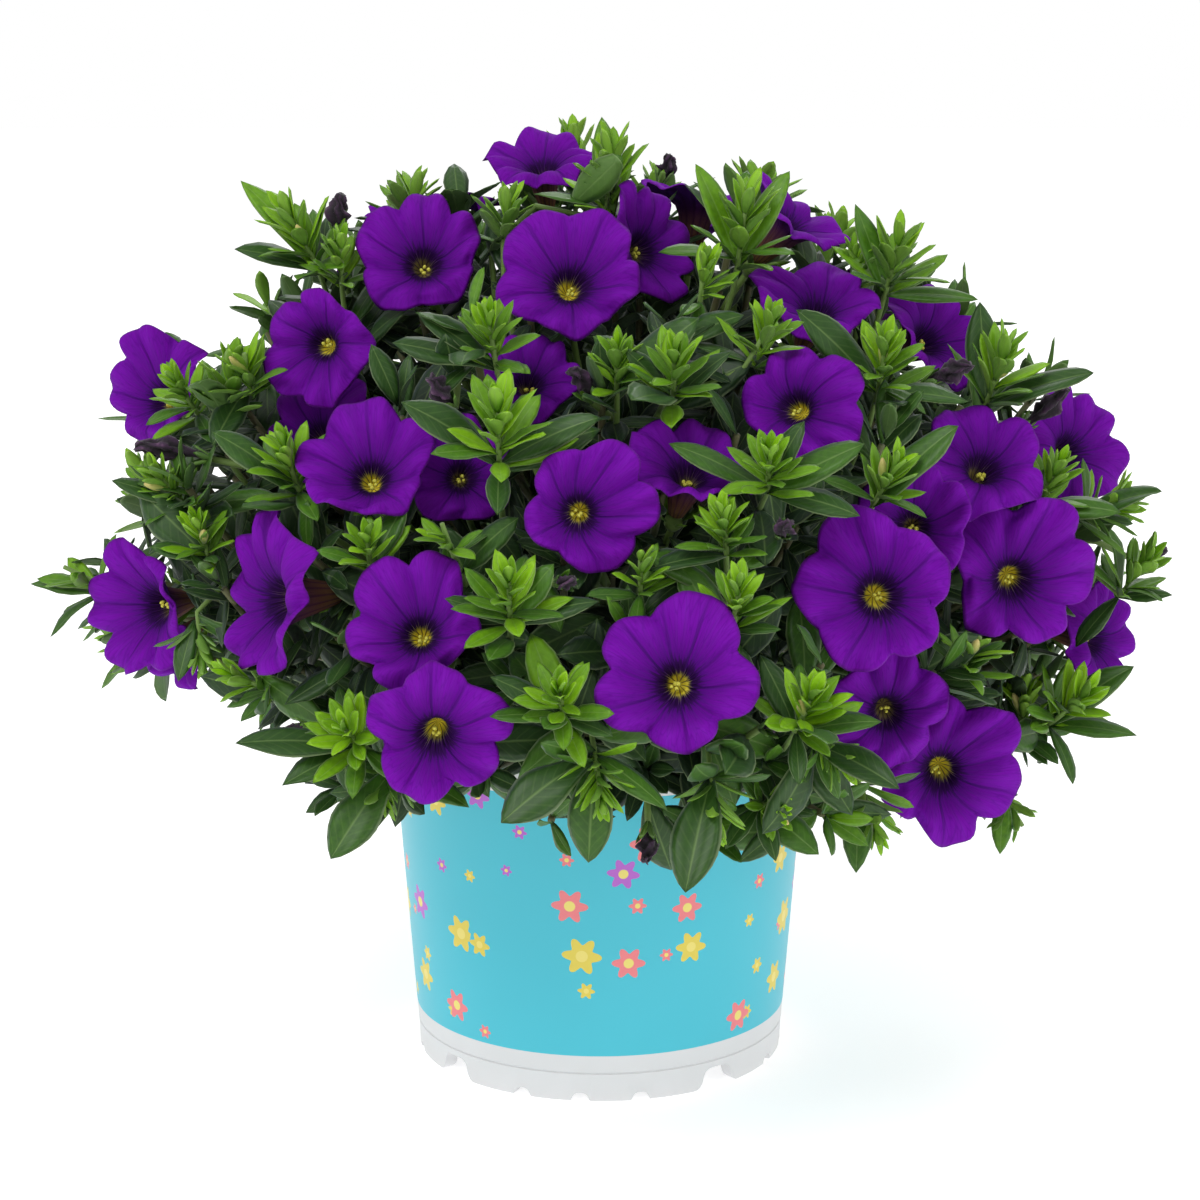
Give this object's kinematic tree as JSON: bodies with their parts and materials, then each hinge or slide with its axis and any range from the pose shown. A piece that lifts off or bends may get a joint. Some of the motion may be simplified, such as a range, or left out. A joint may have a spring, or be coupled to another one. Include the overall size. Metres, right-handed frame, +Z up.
{
  "type": "calibrachoa in a pot",
  "caption": "Flowering calibrachoa: a dense mound of leafy stems with lobed violet flowers, rooted in potting mix in a round tapered pot.",
  "frame": {"origin": "centre of the pot's foot, on the surface that the pot stands on", "axes": "+Z up along the pot's axis; -Y toward the side that the picture shows; +X to the right as seen from there"},
  "size_m": [0.2945, 0.2888, 0.2502],
  "materials": {
    "pot": "white moulded plastic with a printed sleeve area",
    "potting_mix": "dark, crumbly, matte",
    "leaf": "fresh green, soft sheen",
    "petal": "velvety violet with a dark throat"
  },
  "bodies": {
    "root": {"pot": "pot", "potting_mix": "potting_mix", "spray_01": "leaf", "spray_02": "leaf", "spray_03": "leaf", "spray_04": "leaf", "spray_05": "leaf", "spray_06": "leaf", "spray_07": "leaf", "spray_08": "leaf", "spray_09": "leaf", "spray_10": "leaf", "spray_11": "leaf", "spray_12": "leaf", "spray_13": "leaf", "spray_14": "leaf", "spray_15": "leaf", "spray_16": "leaf", "flower_01": "petal", "flower_02": "petal", "flower_03": "petal", "flower_04": "petal", "flower_05": "petal", "flower_06": "petal", "flower_07": "petal", "flower_08": "petal", "flower_09": "petal", "flower_10": "petal", "flower_11": "petal", "flower_12": "petal", "flower_13": "petal", "flower_14": "petal", "flower_15": "petal", "flower_16": "petal", "flower_17": "petal", "flower_18": "petal", "flower_19": "petal", "flower_20": "petal", "flower_21": "petal", "flower_22": "petal", "flower_23": "petal", "flower_24": "petal", "flower_25": "petal", "flower_26": "petal", "flower_27": "petal", "flower_28": "petal", "flower_29": "petal", "flower_30": "petal", "flower_31": "petal", "flower_32": "petal", "flower_33": "petal", "flower_34": "petal", "flower_35": "petal", "flower_36": "petal", "flower_37": "petal", "flower_38": "petal", "flower_39": "petal", "flower_40": "petal", "flower_41": "petal"}
  },
  "joints": []
}
